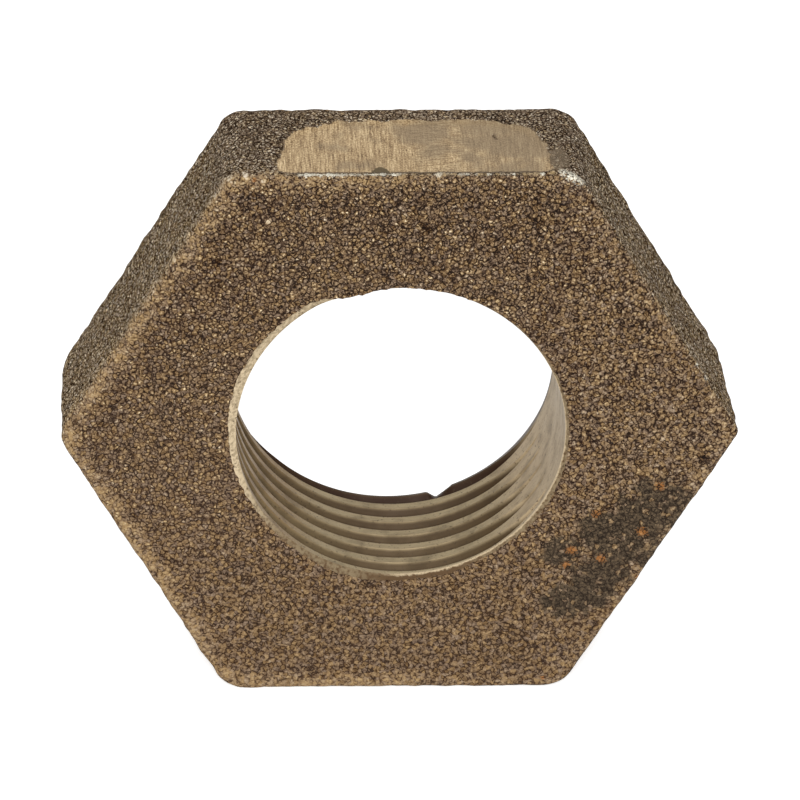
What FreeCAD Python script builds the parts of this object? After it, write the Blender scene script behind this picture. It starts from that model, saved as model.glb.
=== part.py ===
import FreeCAD, Part
import math
import os

import Sketcher

# Handwheel nut: one sand-cast bronze hexagon nut with a tapped bore.
# It stands on one flat. The bore lies along Y, with the larger end face, the front, towards -Y.
# The origin is on the bore's axis at half the nut's thickness, and lengths are in millimetres.

NODE = "handwheel_nut"
SIDES = 6
LEAST_CUT_MM3 = 1e-6
NEAR_FACE_MM = 1e-4

doc = FreeCAD.newDocument(NODE)

# Driving dimensions, each with the words that say what it sets.
DIMENSIONS = [
    ("across_flats", 46.8, "hexagon across its flats, at the front face"),
    ("thickness", 12.8, "from the front face to the back face"),
    ("draft_angle", 0.7, "degrees by which each flat leans inwards towards the back"),
    ("corner_radius", 2.7, "rounding of the six corners of the hexagon"),
    ("front_edge_radius", 0.6, "rounding of the outer edge of the front face"),
    ("back_edge_radius", 2.3, "rounding of the outer edge of the back face"),
    ("back_edge_share", 0.95, "most of a corner's radius at the back that this rounding may take"),
    ("crest_diameter", 25.6, "bore across the crests of its thread"),
    ("mouth_break", 0.4, "bevel on the bore's front edge"),
    ("exit_break", 0.2, "bevel on the bore's back edge"),
    ("relief_diameter", 25.1, "mouth of the off-centre cone that opens the first thread"),
    ("relief_left", 0.79, "how far the cone's mouth reaches past the bore's wall on the left"),
    ("relief_up", 0.6, "the cone's axis, above the bore's axis"),
    ("relief_angle", 45.0, "degrees between the cone's side and its axis"),
    ("facet_left", 9.65, "ground facet on the top flat, its left side from the middle"),
    ("facet_right", 11.45, "the facet's right side from the middle"),
    ("facet_length", 9.0, "from the front face to the line where the facet runs out"),
    ("facet_depth", 0.3, "metal ground away at the front edge"),
    ("facet_corner_radius", 4.0, "rounding of the facet's two rear corners"),
    ("cutter_overrun", 1.0, "how far the facet's cutter reaches past the metal"),
]
sheet = doc.addObject("Spreadsheet::Sheet", "Sizes")
for row, (alias, value, words) in enumerate(DIMENSIONS, start=1):
    sheet.set(f"A{row}", alias)
    sheet.set(f"B{row}", str(value))
    sheet.set(f"C{row}", words)
    sheet.setAlias(f"B{row}", alias)
doc.recompute()

body = doc.addObject("PartDesign::Body", "Nut")
body.Label = NODE
origin_planes = {feature.Role: feature for feature in body.Origin.OriginFeatures}


def new_sketch(name, plane):
    """An empty sketch on one of the body's origin planes."""
    sketch = body.newObject("Sketcher::SketchObject", name)
    sketch.AttachmentSupport = [(origin_planes[plane], "")]
    sketch.MapMode = "FlatFace"
    return sketch


def size(sketch, name, expression, constraint):
    """Adds a named dimension to a sketch and binds it to the sheet."""
    index = sketch.addConstraint(constraint)
    sketch.renameConstraint(index, name)
    sketch.setExpression(f"Constraints.{name}", expression)


def closed_loop(sketch, points):
    """Straight lines through the points and back to the first, joined end to end."""
    vectors = [FreeCAD.Vector(x, y, 0) for x, y in points]
    following = vectors[1:] + vectors[:1]
    lines = [sketch.addGeometry(Part.LineSegment(a, b), False) for a, b in zip(vectors, following)]
    for line, after in zip(lines, lines[1:] + lines[:1]):
        sketch.addConstraint(Sketcher.Constraint("Coincident", line, 2, after, 1))
    return lines


def edges_where(feature, test):
    """Names of the feature's edges whose middle point passes the test."""
    names = []
    for number, edge in enumerate(feature.Shape.Edges, start=1):
        middle = edge.valueAt((edge.FirstParameter + edge.LastParameter) / 2)
        if test(middle):
            names.append(f"Edge{number}")
    return names


def rounding(name, base, edge_names, radius):
    """Rounds the named edges of a feature to a radius from the sheet."""
    fillet = body.newObject("PartDesign::Fillet", name)
    fillet.Base = (base, edge_names)
    fillet.setExpression("Radius", radius)
    doc.recompute()
    return fillet


def must_remove_metal(before, feature):
    """A cut that points away from the solid shows no error, so its volume is compared."""
    if feature.Shape.Volume >= before.Shape.Volume - LEAST_CUT_MM3:
        raise RuntimeError(f"{feature.Name} removed no metal")


# Casting: the front face's hexagon, with a flat on top, drawn back along Y with draft.
hexagon = new_sketch("Hexagon", "XZ_Plane")
hexagon.setExpression("AttachmentOffset.Base.z", "Sizes.thickness / 2")
corner_reach = sheet.across_flats / math.sqrt(3)
corners = []
for step in range(SIDES):
    angle = 2 * math.pi * step / SIDES
    corners.append((corner_reach * math.cos(angle), corner_reach * math.sin(angle)))
flats = closed_loop(hexagon, corners)
corner_circle = hexagon.addGeometry(
    Part.Circle(FreeCAD.Vector(), FreeCAD.Vector(0, 0, 1), corner_reach), True)
hexagon.addConstraint(Sketcher.Constraint("Coincident", corner_circle, 3, -1, 1))
for flat in flats:
    hexagon.addConstraint(Sketcher.Constraint("PointOnObject", flat, 1, corner_circle))
for flat in flats[1:]:
    hexagon.addConstraint(Sketcher.Constraint("Equal", flats[0], flat))
TOP_FLAT = 1
hexagon.addConstraint(Sketcher.Constraint("Horizontal", flats[TOP_FLAT]))
size(hexagon, "corner_circle", "Sizes.across_flats / sqrt(3)",
     Sketcher.Constraint("Radius", corner_circle, corner_reach))

prism = body.newObject("PartDesign::Pad", "Prism")
prism.Profile = hexagon
prism.Reversed = True
prism.setExpression("Length", "Sizes.thickness")
doc.recompute()

# Draft: a wedge is taken off the top flat, from nothing at the front, and repeated round the bore.
half_thickness = sheet.thickness / 2
half_flats = sheet.across_flats / 2
wedge_foot = half_flats - sheet.thickness * math.tan(math.radians(sheet.draft_angle))
wedge = new_sketch("DraftWedge", "YZ_Plane")
leaning_flat, back_rise, far_side = closed_loop(wedge, [
    (-half_thickness, half_flats),
    (half_thickness, wedge_foot),
    (half_thickness, half_flats),
])
wedge.addConstraint(Sketcher.Constraint("Vertical", back_rise))
wedge.addConstraint(Sketcher.Constraint("Horizontal", far_side))
size(wedge, "front_depth", "Sizes.thickness / 2",
     Sketcher.Constraint("DistanceX", leaning_flat, 1, -1, 1, half_thickness))
size(wedge, "back_depth", "Sizes.thickness / 2",
     Sketcher.Constraint("DistanceX", -1, 1, back_rise, 1, half_thickness))
size(wedge, "flat_height", "Sizes.across_flats / 2",
     Sketcher.Constraint("DistanceY", -1, 1, leaning_flat, 1, half_flats))
size(wedge, "lean", "Sizes.thickness * tan(Sizes.draft_angle)",
     Sketcher.Constraint("DistanceY", back_rise, 1, back_rise, 2, half_flats - wedge_foot))

top_draft = body.newObject("PartDesign::Pocket", "TopDraft")
top_draft.Profile = wedge
top_draft.Midplane = True
top_draft.setExpression("Length", "Sizes.across_flats")
doc.recompute()
must_remove_metal(prism, top_draft)

casting = body.newObject("PartDesign::PolarPattern", "Casting")
casting.Originals = [top_draft]
casting.Axis = (origin_planes["Y_Axis"], [""])
casting.Angle = 360
casting.Occurrences = SIDES
body.Tip = casting
doc.recompute()
must_remove_metal(top_draft, casting)

# Rounded edges: the six corners first, then the outlines of the two end faces.
# The back edge is rolled over inside the corners, whose radius the draft makes smaller there.
face_depth = half_thickness - NEAR_FACE_MM
rounded_corners = rounding(
    "RoundedCorners", casting,
    edges_where(casting, lambda middle: abs(middle.y) < face_depth),
    "Sizes.corner_radius")
rounded_back = rounding(
    "RoundedBack", rounded_corners,
    edges_where(rounded_corners, lambda middle: middle.y > face_depth),
    "min(Sizes.back_edge_radius; Sizes.back_edge_share"
    " * (Sizes.corner_radius - Sizes.thickness * tan(Sizes.draft_angle)))")
rounded_front = rounding(
    "RoundedFront", rounded_back,
    edges_where(rounded_back, lambda middle: middle.y < -face_depth),
    "Sizes.front_edge_radius")

# Bore: plain at the thread's crests, with a small bevel at each end.
half_section = new_sketch("BoreSection", "XY_Plane")
crest = sheet.crest_diameter / 2
front_end, _, wall, _, back_end, axis_side = closed_loop(half_section, [
    (0, -half_thickness),
    (crest + sheet.mouth_break, -half_thickness),
    (crest, sheet.mouth_break - half_thickness),
    (crest, half_thickness - sheet.exit_break),
    (crest + sheet.exit_break, half_thickness),
    (0, half_thickness),
])
for line in (front_end, back_end):
    half_section.addConstraint(Sketcher.Constraint("Horizontal", line))
half_section.addConstraint(Sketcher.Constraint("Vertical", wall))
half_section.addConstraint(Sketcher.Constraint("PointOnObject", front_end, 1, -2))
half_section.addConstraint(Sketcher.Constraint("PointOnObject", axis_side, 1, -2))
size(half_section, "front_depth", "Sizes.thickness / 2",
     Sketcher.Constraint("DistanceY", front_end, 1, -1, 1, half_thickness))
size(half_section, "back_depth", "Sizes.thickness / 2",
     Sketcher.Constraint("DistanceY", -1, 1, axis_side, 1, half_thickness))
size(half_section, "crest", "Sizes.crest_diameter / 2",
     Sketcher.Constraint("DistanceX", -1, 1, wall, 1, crest))
size(half_section, "mouth_width", "Sizes.mouth_break",
     Sketcher.Constraint("DistanceX", wall, 1, front_end, 2, sheet.mouth_break))
size(half_section, "mouth_height", "Sizes.mouth_break",
     Sketcher.Constraint("DistanceY", front_end, 2, wall, 1, sheet.mouth_break))
size(half_section, "exit_width", "Sizes.exit_break",
     Sketcher.Constraint("DistanceX", wall, 2, back_end, 1, sheet.exit_break))
size(half_section, "exit_height", "Sizes.exit_break",
     Sketcher.Constraint("DistanceY", wall, 2, back_end, 1, sheet.exit_break))

bore = body.newObject("PartDesign::Groove", "Bore")
bore.Profile = half_section
bore.ReferenceAxis = (half_section, ["V_Axis"])
bore.Angle = 360
doc.recompute()
must_remove_metal(rounded_front, bore)

# Thread relief: a cone set off to the upper left, which leaves a crescent on the bore's front edge.
relief_section = new_sketch("ReliefSection", "XY_Plane")
relief_section.setExpression("AttachmentOffset.Base.z", "Sizes.relief_up")
relief_radius = sheet.relief_diameter / 2
relief_height = relief_radius / math.tan(math.radians(sheet.relief_angle))
relief_reach = crest + sheet.relief_left
relief_axis, _, relief_mouth = closed_loop(relief_section, [
    (relief_radius - relief_reach, -half_thickness),
    (relief_radius - relief_reach, relief_height - half_thickness),
    (-relief_reach, -half_thickness),
])
relief_section.addConstraint(Sketcher.Constraint("Vertical", relief_axis))
relief_section.addConstraint(Sketcher.Constraint("Horizontal", relief_mouth))
size(relief_section, "reach", "Sizes.crest_diameter / 2 + Sizes.relief_left",
     Sketcher.Constraint("DistanceX", relief_mouth, 1, -1, 1, relief_reach))
size(relief_section, "front_depth", "Sizes.thickness / 2",
     Sketcher.Constraint("DistanceY", relief_axis, 1, -1, 1, half_thickness))
size(relief_section, "mouth", "Sizes.relief_diameter / 2",
     Sketcher.Constraint("DistanceX", relief_mouth, 1, relief_axis, 1, relief_radius))
size(relief_section, "height", "Sizes.relief_diameter / 2 / tan(Sizes.relief_angle)",
     Sketcher.Constraint("DistanceY", relief_axis, 1, relief_axis, 2, relief_height))

thread_relief = body.newObject("PartDesign::Groove", "ThreadRelief")
thread_relief.Profile = relief_section
thread_relief.ReferenceAxis = (relief_section, ["Edge1"])
thread_relief.Angle = 360
doc.recompute()
must_remove_metal(bore, thread_relief)

# Ground facet: where the gate was taken off the top flat, deepest at the front edge and running
# out towards the back. Its sketch lies in the ground plane and the cut clears what is above it.
facet_outline = new_sketch("FacetOutline", "XY_Plane")
facet_rise = sheet.facet_depth / sheet.facet_length - math.tan(math.radians(sheet.draft_angle))
facet_outline.AttachmentOffset = FreeCAD.Placement(
    FreeCAD.Vector(), FreeCAD.Rotation(FreeCAD.Vector(1, 0, 0), math.degrees(math.atan(facet_rise))))
facet_outline.setExpression("AttachmentOffset.Base.y", "-Sizes.thickness / 2")
facet_outline.setExpression("AttachmentOffset.Base.z", "Sizes.across_flats / 2 - Sizes.facet_depth")
facet_outline.setExpression(
    "AttachmentOffset.Rotation.Angle",
    "atan(Sizes.facet_depth / Sizes.facet_length - tan(Sizes.draft_angle))")
left, right = -sheet.facet_left, sheet.facet_right
rear, turn, overrun = sheet.facet_length, sheet.facet_corner_radius, sheet.cutter_overrun
front_side = facet_outline.addGeometry(
    Part.LineSegment(FreeCAD.Vector(left, -overrun, 0), FreeCAD.Vector(right, -overrun, 0)), False)
right_side = facet_outline.addGeometry(
    Part.LineSegment(FreeCAD.Vector(right, -overrun, 0), FreeCAD.Vector(right, rear - turn, 0)), False)
right_turn = facet_outline.addGeometry(Part.ArcOfCircle(
    Part.Circle(FreeCAD.Vector(right - turn, rear - turn, 0), FreeCAD.Vector(0, 0, 1), turn),
    0, math.pi / 2), False)
rear_side = facet_outline.addGeometry(
    Part.LineSegment(FreeCAD.Vector(right - turn, rear, 0), FreeCAD.Vector(left + turn, rear, 0)), False)
left_turn = facet_outline.addGeometry(Part.ArcOfCircle(
    Part.Circle(FreeCAD.Vector(left + turn, rear - turn, 0), FreeCAD.Vector(0, 0, 1), turn),
    math.pi / 2, math.pi), False)
left_side = facet_outline.addGeometry(
    Part.LineSegment(FreeCAD.Vector(left, rear - turn, 0), FreeCAD.Vector(left, -overrun, 0)), False)
facet_outline.addConstraint(Sketcher.Constraint("Coincident", front_side, 2, right_side, 1))
facet_outline.addConstraint(Sketcher.Constraint("Coincident", left_side, 2, front_side, 1))
facet_outline.addConstraint(Sketcher.Constraint("Tangent", right_side, 2, right_turn, 1))
facet_outline.addConstraint(Sketcher.Constraint("Tangent", right_turn, 2, rear_side, 1))
facet_outline.addConstraint(Sketcher.Constraint("Tangent", rear_side, 2, left_turn, 1))
facet_outline.addConstraint(Sketcher.Constraint("Tangent", left_turn, 2, left_side, 1))
facet_outline.addConstraint(Sketcher.Constraint("Horizontal", front_side))
facet_outline.addConstraint(Sketcher.Constraint("Vertical", right_side))
facet_outline.addConstraint(Sketcher.Constraint("Vertical", left_side))
facet_outline.addConstraint(Sketcher.Constraint("Equal", right_turn, left_turn))
size(facet_outline, "left", "Sizes.facet_left",
     Sketcher.Constraint("DistanceX", front_side, 1, -1, 1, sheet.facet_left))
size(facet_outline, "right", "Sizes.facet_right",
     Sketcher.Constraint("DistanceX", -1, 1, front_side, 2, sheet.facet_right))
size(facet_outline, "overrun", "Sizes.cutter_overrun",
     Sketcher.Constraint("DistanceY", front_side, 1, -1, 1, overrun))
size(facet_outline, "run_out", "Sizes.facet_length",
     Sketcher.Constraint("DistanceY", -1, 1, rear_side, 1, rear))
size(facet_outline, "turn", "Sizes.facet_corner_radius",
     Sketcher.Constraint("Radius", right_turn, turn))

ground_facet = body.newObject("PartDesign::Pocket", "GroundFacet")
ground_facet.Profile = facet_outline
ground_facet.Reversed = True
ground_facet.setExpression("Length", "Sizes.facet_depth + Sizes.cutter_overrun")
doc.recompute()
must_remove_metal(thread_relief, ground_facet)
body.Tip = ground_facet
doc.recompute()

# Nothing is written unless every feature is sound.
for feature in doc.Objects:
    if "Invalid" in feature.State or "Error" in feature.State:
        raise RuntimeError(f"{feature.Name} failed: {feature.State}")
if body.Shape.isNull() or not body.Shape.isValid() or len(body.Shape.Solids) != 1:
    raise RuntimeError("the nut is not one valid solid")

os.makedirs("parts", exist_ok=True)
body.Shape.exportStep(f"parts/{body.Label}.step")
print(body.Label, "volume", round(body.Shape.Volume, 2), "box", body.Shape.BoundBox)
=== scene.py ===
import math

import bpy
from mathutils import Matrix, Vector


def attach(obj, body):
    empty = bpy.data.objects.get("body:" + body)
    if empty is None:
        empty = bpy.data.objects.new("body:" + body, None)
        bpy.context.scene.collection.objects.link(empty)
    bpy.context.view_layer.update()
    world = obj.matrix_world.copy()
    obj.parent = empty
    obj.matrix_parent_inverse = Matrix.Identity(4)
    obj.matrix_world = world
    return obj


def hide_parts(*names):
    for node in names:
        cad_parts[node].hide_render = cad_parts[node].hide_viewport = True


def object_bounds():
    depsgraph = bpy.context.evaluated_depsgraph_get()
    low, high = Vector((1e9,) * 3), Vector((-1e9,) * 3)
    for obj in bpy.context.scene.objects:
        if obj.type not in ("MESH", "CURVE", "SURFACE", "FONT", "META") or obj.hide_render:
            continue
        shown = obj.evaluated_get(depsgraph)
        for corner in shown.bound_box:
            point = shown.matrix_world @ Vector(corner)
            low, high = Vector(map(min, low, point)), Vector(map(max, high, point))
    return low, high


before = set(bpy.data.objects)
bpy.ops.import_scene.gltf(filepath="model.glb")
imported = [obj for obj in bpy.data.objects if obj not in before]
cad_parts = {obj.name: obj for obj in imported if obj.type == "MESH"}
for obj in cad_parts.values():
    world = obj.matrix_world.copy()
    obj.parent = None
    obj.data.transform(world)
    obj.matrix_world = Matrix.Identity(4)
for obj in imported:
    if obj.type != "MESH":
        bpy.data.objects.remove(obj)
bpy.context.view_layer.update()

# Nut: a hexagon of sand-cast bronze, 46.8 mm across flats, standing on one flat with the bore along Y.
# Its flats lean in towards the back so that the pattern could leave the sand, and its back edge is rolled.
# The bore is tapped right through, a little off the casting's own centre, so the turns fade on the right.
MM = 0.001
SIDES = 6
SIXTH_TURN = 2 * math.pi / SIDES
COS_30 = math.cos(math.pi / SIDES)
TAN_30 = math.tan(math.pi / SIDES)

NUT_SIZES = {
    "across_flats": 46.8 * MM,
    "thickness": 12.8 * MM,
    "draft_slope": math.tan(math.radians(0.7)),
    "corner_radius": 2.7 * MM,
    "right_corner_front": 1.0 * MM,
    "right_corner_back": 4.5 * MM,
    "front_edge_radius": 0.6 * MM,
    "back_edge_radius": 2.3 * MM,
    "crest_radius": 13.0 * MM,
    "crest_right_at_front": 0.15 * MM,
    "crest_right_at_back": -0.19 * MM,
    "crest_up": 0.27 * MM,
    "groove_depth": 0.95 * MM,
    "pitch": 2.117 * MM,
    "first_crest": 0.21 * MM,
    "mouth_radius": 13.25 * MM,
    "mouth_right": 0.2 * MM,
    "mouth_up": 0.04 * MM,
    "lip_worn": 0.22 * MM,
    "lip_tight": 0.16 * MM,
    "lip_thin": 0.17 * MM,
    "mouth_depth": 0.15 * MM,
    "mouth_ragged": 0.22 * MM,
    "exit_break": 0.2 * MM,
    "exit_depth": 0.7 * MM,
    "feather_chip": 0.65 * MM,
    "lump_height": 0.065 * MM,
    "side_lump_height": 0.18 * MM,
    "facet_depth": 0.27 * MM,
    "facet_middle": 0.8 * MM,
    "facet_half_width": 10.9 * MM,
    "facet_length": 9.4 * MM,
    "facet_lean": 0.45 * MM,
    "burr_height": 0.08 * MM,
}

STEPS_ON_A_FLAT = 96
FACE_ROWS = 44
FRONT_EDGE_ROWS = 5
FLAT_ROWS = 36
BACK_EDGE_ROWS = 10
BACK_ROWS = 26
FLANK_ROWS = 2
ROOT_ROWS = 1
CREST_ROWS = 3
THREAD_TURNS = 8
ROWS_IN_A_TURN = 2 * FLANK_ROWS + ROOT_ROWS + CREST_ROWS
EDGE_START = FACE_ROWS
FLAT_START = EDGE_START + FRONT_EDGE_ROWS
ROLL_START = FLAT_START + FLAT_ROWS
BACK_START = ROLL_START + BACK_EDGE_ROWS
THREAD_START = BACK_START + BACK_ROWS
RING_ROWS = THREAD_START + 1 + ROWS_IN_A_TURN * THREAD_TURNS


class Amount:
    """A number on a socket of a node tree. Sums written with it add the tree's Math nodes."""

    def __init__(self, tree, socket):
        self.tree = tree
        self.socket = socket

    def work(self, operation, *values, clamp=False):
        node = self.tree.nodes.new("ShaderNodeMath")
        node.operation = operation
        node.use_clamp = clamp
        for socket, value in zip(node.inputs, values):
            if isinstance(value, Amount):
                self.tree.links.new(value.socket, socket)
            else:
                socket.default_value = value
        return Amount(self.tree, node.outputs[0])

    def __add__(self, other):
        return self.work("ADD", self, other)

    def __sub__(self, other):
        return self.work("SUBTRACT", self, other)

    def __rsub__(self, other):
        return self.work("SUBTRACT", other, self)

    def __mul__(self, other):
        return self.work("MULTIPLY", self, other)

    def __truediv__(self, other):
        return self.work("DIVIDE", self, other)

    def __pow__(self, other):
        return self.work("POWER", self, other)

    def __abs__(self):
        return self.work("ABSOLUTE", self)

    __radd__ = __add__
    __rmul__ = __mul__

    def least(self, other):
        return self.work("MINIMUM", self, other)

    def most(self, other):
        return self.work("MAXIMUM", self, other)

    def above(self, other):
        return self.work("GREATER_THAN", self, other)

    def clipped(self):
        return self.work("ADD", self, 0.0, clamp=True)

    def of(self, operation):
        return self.work(operation, self)

    def between(self, low, high):
        """0 at the low value, 1 at the high one, and smooth between them."""
        share = self.work("DIVIDE", self - low, high - low, clamp=True)
        return share * share * (3.0 - 2.0 * share)


def mixed(share, first, second):
    """The first amount where the share is 0 and the second where it is 1."""
    return first + (second - first) * share


nut_tree = bpy.data.node_groups.new("nut_form", "GeometryNodeTree")
nut_tree.interface.new_socket(name="nut", in_out="OUTPUT", socket_type="NodeSocketGeometry")
for size_name in NUT_SIZES:
    nut_tree.interface.new_socket(name=size_name, in_out="INPUT", socket_type="NodeSocketFloat")
for material_name in ("cast_skin", "tapped_wall"):
    nut_tree.interface.new_socket(name=material_name, in_out="INPUT", socket_type="NodeSocketMaterial")
nut_in = nut_tree.nodes.new("NodeGroupInput")
size = {name: Amount(nut_tree, nut_in.outputs[name]) for name in NUT_SIZES}


def nut_node(kind, **links):
    """A node of the nut's tree, with its named inputs fed from sockets, amounts or plain values."""
    node = nut_tree.nodes.new(kind)
    for name, value in links.items():
        socket = node.inputs[name.replace("_", " ")]
        if isinstance(value, Amount):
            nut_tree.links.new(value.socket, socket)
        elif isinstance(value, bpy.types.NodeSocket):
            nut_tree.links.new(value, socket)
        else:
            socket.default_value = value
    return node


def split_place():
    """The x, y and z of each point as amounts."""
    axes = nut_node("ShaderNodeSeparateXYZ", Vector=nut_node("GeometryNodeInputPosition").outputs[0])
    return [Amount(nut_tree, socket) for socket in axes.outputs]


def stored(geometry, name, amount):
    """Keeps an amount on the points under a name that the finishes read."""
    keep = nut_tree.nodes.new("GeometryNodeStoreNamedAttribute")
    keep.data_type = "FLOAT"
    keep.domain = "POINT"
    keep.inputs["Name"].default_value = name
    nut_tree.links.new(geometry, keep.inputs["Geometry"])
    nut_tree.links.new(amount.socket, keep.inputs["Value"])
    return keep.outputs["Geometry"]


def read_back(name):
    """An amount that was kept on the points."""
    read = nut_tree.nodes.new("GeometryNodeInputNamedAttribute")
    read.data_type = "FLOAT"
    read.inputs["Name"].default_value = name
    return Amount(nut_tree, read.outputs["Attribute"])


def sand_lumps(width, seed, place=None):
    """Noise whose swellings are about as wide as given, from -1 to 1."""
    noise = nut_tree.nodes.new("ShaderNodeTexNoise")
    noise.noise_dimensions = "4D"
    noise.inputs["W"].default_value = seed
    noise.inputs["Scale"].default_value = 1.0 / width
    noise.inputs["Detail"].default_value = 1.0
    if place:
        nut_tree.links.new(place, noise.inputs["Vector"])
    return (Amount(nut_tree, noise.outputs[0]) - 0.5) * 2.0


# The grid's columns go round the bore from the right-hand corner, evenly along each flat. Its rows go out
# over the front face, back over the flat, in over the back face and then forward through the thread.
grid = nut_node("GeometryNodeMeshGrid", Size_X=1.0, Size_Y=1.0,
                Vertices_X=SIDES * STEPS_ON_A_FLAT + 1, Vertices_Y=RING_ROWS + 1)
across_grid, up_grid, _ = split_place()
round_nut = (across_grid + 0.5) * SIDES
flat_number = round_nut.of("FLOOR")
off_middle = ((round_nut - flat_number - 0.5) * (2.0 * TAN_30)).of("ARCTANGENT")
angle = (flat_number + 0.5) * SIXTH_TURN + off_middle
cosine = angle.of("COSINE")
sine = angle.of("SINE")
row_from_start = ((up_grid + 0.5) * RING_ROWS).of("ROUND")
row = row_from_start.work("FLOORED_MODULO", row_from_start, RING_ROWS)


def run_share(start, rows):
    """How much of a run of rows lies behind this one: 0 before the run and 1 after it."""
    return row.work("DIVIDE", row - start, rows, clamp=True)


face_share = run_share(0, FACE_ROWS)
edge_turn = run_share(EDGE_START, FRONT_EDGE_ROWS) * (math.pi / 2)
flat_share = run_share(FLAT_START, FLAT_ROWS)
roll_turn = run_share(ROLL_START, BACK_EDGE_ROWS) * (math.pi / 2)
back_share = run_share(BACK_START, BACK_ROWS)
in_bore = row.above(THREAD_START + 0.5)
on_back = row.above(ROLL_START + 0.5)

half_thick = size["thickness"] * 0.5
flat_run = size["thickness"] - size["front_edge_radius"] - size["back_edge_radius"]
skin_depth = (size["front_edge_radius"] * (1.0 - edge_turn.of("COSINE"))
              + flat_run * flat_share
              + size["back_edge_radius"] * roll_turn.of("SINE"))
inset = (size["front_edge_radius"] * (1.0 - edge_turn.of("SINE"))
         + size["back_edge_radius"] * (1.0 - roll_turn.of("COSINE")))
half_flat = size["across_flats"] * 0.5 - inset - skin_depth * size["draft_slope"]
on_right_corner = cosine.above(COS_30)
right_corner = mixed(flat_share, size["right_corner_front"], size["right_corner_back"])
rounding = mixed(on_right_corner, size["corner_radius"], right_corner) - inset
corner_centre = (half_flat - rounding) / COS_30
from_corner = math.pi / SIDES - abs(off_middle)
corner_side = corner_centre * from_corner.of("SINE")
to_flat = half_flat / off_middle.of("COSINE")
to_corner = corner_centre * from_corner.of("COSINE") + (
    (rounding * rounding - corner_side * corner_side).most(0.0).of("SQRT"))
round_corner = abs(half_flat * off_middle.of("TANGENT")).above((half_flat - rounding) * TAN_30)
outline = mixed(round_corner, to_flat, to_corner)

# Thread: grooves of 60 degrees with a flat root an eighth of the pitch wide, cut about their own axis.
# Each groove's rows go down one flank, over the root, up the other flank and along the crest.
ROOT_SHARE = 1 / 8
TAP_START = (math.radians(106), math.radians(121))
TAP_END = (math.radians(338), math.radians(302))
START_TURN = 1.25
LAST_GROOVE = 6
END_ROW_GAP = 0.05 * MM
ROOT_FROM = FLANK_ROWS
FAR_FLANK_FROM = ROOT_FROM + ROOT_ROWS
CREST_FROM = FAR_FLANK_FROM + FLANK_ROWS
half_root = size["pitch"] * (ROOT_SHARE / 2)
depth_here = size["groove_depth"] * angle.between(*TAP_START) * angle.between(*TAP_END)
groove_half = half_root + depth_here * TAN_30
groove_line = (size["first_crest"] - half_thick + size["pitch"] * START_TURN
               - size["pitch"] * angle / (2 * math.pi))
thread_row = row - (THREAD_START + 1)
turn_number = (thread_row / ROWS_IN_A_TURN).of("FLOOR")
row_in_turn = thread_row - turn_number * ROWS_IN_A_TURN
flank_step = (groove_half - half_root) / FLANK_ROWS
crest_step = (size["pitch"] - groove_half * 2.0) / CREST_ROWS
in_groove = (groove_half
             - flank_step * row_in_turn.least(FLANK_ROWS)
             - half_root * 2.0 * (row_in_turn - ROOT_FROM).clipped()
             - flank_step * (row_in_turn - FAR_FLANK_FROM).most(0.0).least(FLANK_ROWS)
             - crest_step * (row_in_turn - CREST_FROM).most(0.0))
thread_y = groove_line + size["pitch"] * (LAST_GROOVE - turn_number) + in_groove
thread_y = thread_y.most(size["mouth_depth"] - half_thick).least(half_thick - END_ROW_GAP)

# Bore: its axis leans a little, its far end is broken out, and the last thin crest has lost a chip.
CHIP_START = math.radians(283.2)
CHIP_DEEPEST = math.radians(285.8)
CHIP_END = math.radians(292.8)
CHIP_REACH = 0.9 * MM
wall_y = mixed(in_bore, mixed(on_back, half_thick * -1.0, half_thick), thread_y)
bore_share = (wall_y + half_thick) / size["thickness"]
crest_right = mixed(bore_share, size["crest_right_at_front"], size["crest_right_at_back"])
to_exit = ((half_thick - wall_y) / size["exit_depth"]).clipped()
wall = (size["crest_radius"] + crest_right * cosine + size["crest_up"] * sine
        + size["exit_break"] * (1.0 - to_exit))
turns_deep = (wall_y - groove_line) / size["pitch"]
beside_groove = abs(turns_deep - turns_deep.of("ROUND")) * size["pitch"]
groove = wall + depth_here - (beside_groove - half_root).most(0.0) / TAN_30
chip_shape = ((angle - CHIP_START) / (CHIP_DEEPEST - CHIP_START)).clipped() * (
    (CHIP_END - angle) / (CHIP_END - CHIP_DEEPEST)).clipped()
in_chip = 1.0 - ((half_thick - wall_y) / CHIP_REACH).clipped().of("FLOOR")
bore_radius = wall.most(groove).most(wall + size["feather_chip"] * chip_shape * in_chip)

# Mouth: its lip is ragged, worn back at the bottom left, and stands in at the lower right and upper left.
WORN_FROM = (math.radians(236), math.radians(248))
WORN_TO = (math.radians(270), math.radians(258))
TIGHT_FROM = (math.radians(286), math.radians(300))
TIGHT_TO = (math.radians(322), math.radians(312))
THIN_FROM = (math.radians(92), math.radians(108))
THIN_TO = (math.radians(160), math.radians(146))
RAGGED_WIDTH = 0.5 * MM
RAGGED_SEED = 4.6
ring_place = nut_node("ShaderNodeCombineXYZ",
                      X=cosine * size["mouth_radius"], Z=sine * size["mouth_radius"])
mouth = (size["mouth_radius"] + size["mouth_right"] * cosine + size["mouth_up"] * sine
         + size["lip_worn"] * angle.between(*WORN_FROM) * angle.between(*WORN_TO)
         - size["lip_tight"] * angle.between(*TIGHT_FROM) * angle.between(*TIGHT_TO))
lip_thin = size["lip_thin"] * angle.between(*THIN_FROM) * angle.between(*THIN_TO)
ragged = sand_lumps(RAGGED_WIDTH, RAGGED_SEED, ring_place.outputs[0]) * size["mouth_ragged"]
edge_radius = mixed(on_back, bore_radius.most(mouth) - lip_thin + ragged, bore_radius)
skin_radius = mixed(back_share, mixed(face_share, edge_radius, outline), edge_radius)

radius = mixed(in_bore, skin_radius, bore_radius)
place_y = mixed(in_bore, skin_depth - half_thick, thread_y)
place = nut_node("ShaderNodeCombineXYZ", X=radius * cosine, Y=place_y, Z=radius * sine)

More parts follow.
